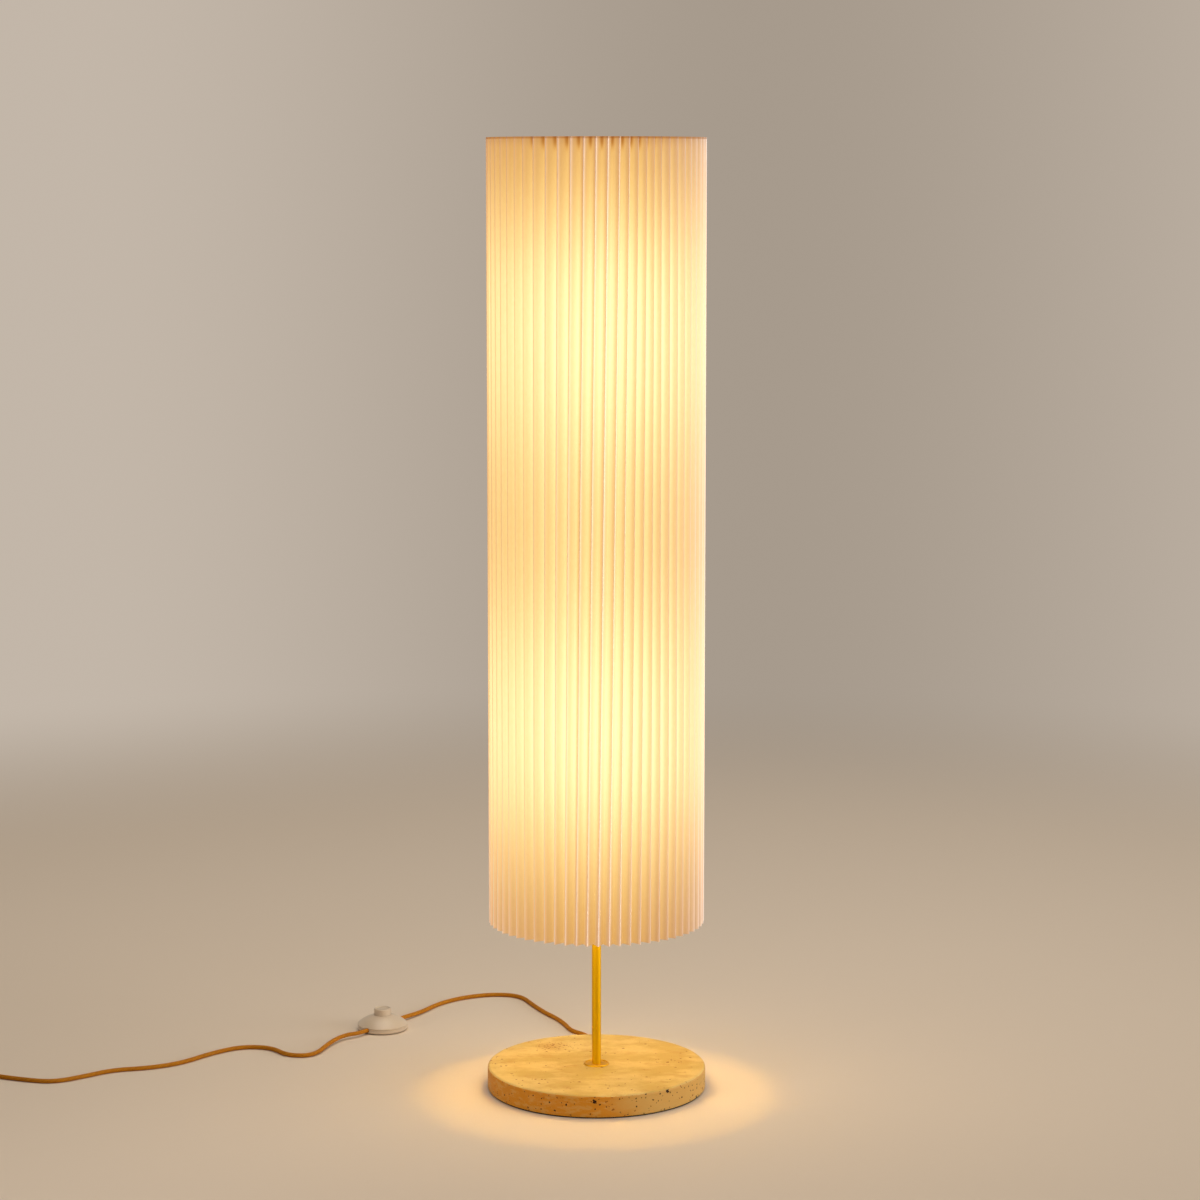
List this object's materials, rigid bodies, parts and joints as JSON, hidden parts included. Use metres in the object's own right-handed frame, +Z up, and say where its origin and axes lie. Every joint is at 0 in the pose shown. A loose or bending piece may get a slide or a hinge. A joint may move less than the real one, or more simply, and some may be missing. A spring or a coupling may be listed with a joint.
{
  "type": "floor lamp",
  "caption": "Floor lamp with a tall round pleated paper shade on a thin brass pole and a round stone foot, with a textile cord and a domed foot switch.",
  "frame": {"origin": "middle of the foot's underside, on the floor", "axes": "+Z up the pole, +Y out of the cord's exit at the back of the foot, +X to the right seen from the front"},
  "size_m": [1.1463, 0.6321, 1.3],
  "materials": {
    "travertine": "honed, filled in part, with small open pits",
    "foam_pad": "matt foam",
    "satin_brass": "satin, brushed along the tube",
    "zinc_steel": "zinc plated",
    "pleated_paper": "translucent, matt, sharp folds",
    "white_wire": "white powder coat",
    "ceramic": "glazed white",
    "white_holder": "white",
    "opal_glass": "opal, frosted",
    "bulb_cap_metal": "bare",
    "white_nylon": "natural",
    "white_plastic": "off-white, semi-gloss",
    "brown_cord": "braided copper-brown textile over a two-core cable",
    "wire_sleeve": "insulated wire",
    "dark_rubber": "matt",
    "black_tie": "hook and loop",
    "nickel": "nickel plated"
  },
  "bodies": {
    "lamp": {"base_nut": "zinc_steel", "base_pad": "foam_pad", "base_stone": "travertine", "base_tube": "zinc_steel", "base_washer": "zinc_steel", "bottom_spider": "white_wire", "clamp_screws": "zinc_steel", "coil_tie": "black_tie", "cord_bushing": "dark_rubber", "cord_clamp": "white_nylon", "cord_coil": "brown_cord", "cord_in_base": "brown_cord", "cord_tail": "brown_cord", "cord_to_coil": "brown_cord", "cord_to_switch": "brown_cord", "hub_screw": "satin_brass", "lamp_leads": "wire_sleeve", "lower_arm": "satin_brass", "lower_bulb_cap": "bulb_cap_metal", "lower_bulb_globe": "opal_glass", "lower_holder_cap": "white_holder", "lower_holder_contacts": "satin_brass", "lower_holder_core": "ceramic", "lower_holder_shell": "white_holder", "lower_tee": "satin_brass", "pleated_shade": "pleated_paper", "plug_body": "white_plastic", "plug_pins": "nickel", "pole_flange": "satin_brass", "pole_foot_plug": "satin_brass", "pole_joiner": "satin_brass", "pole_lower": "satin_brass", "pole_top_plug": "satin_brass", "pole_upper": "satin_brass", "pole_wires": "wire_sleeve", "shade_bottom_ring": "white_wire", "shade_top_ring": "white_wire", "switch_base": "white_plastic", "switch_contacts": "white_nylon", "switch_cover": "white_plastic", "switch_foot_pad": "dark_rubber", "switch_grips": "white_nylon", "switch_screws": "zinc_steel", "switch_spring": "zinc_steel", "tee_screws": "zinc_steel", "top_nut": "satin_brass", "top_spider": "white_wire", "upper_arm": "satin_brass", "upper_bulb_cap": "bulb_cap_metal", "upper_bulb_globe": "opal_glass", "upper_holder_cap": "white_holder", "upper_holder_contacts": "satin_brass", "upper_holder_core": "ceramic", "upper_holder_shell": "white_holder", "upper_tee": "satin_brass"},
    "button": {"switch_button": "white_plastic"}
  },
  "joints": [
    {"name": "switch_press", "type": "slide", "parent": "lamp", "child": "button", "axis": [0, 0, -1], "range_m": [0, 0.004], "stiffness_N_per_m": 1200, "springref_m": -0.004, "deforming": ["switch_spring"]}
  ]
}
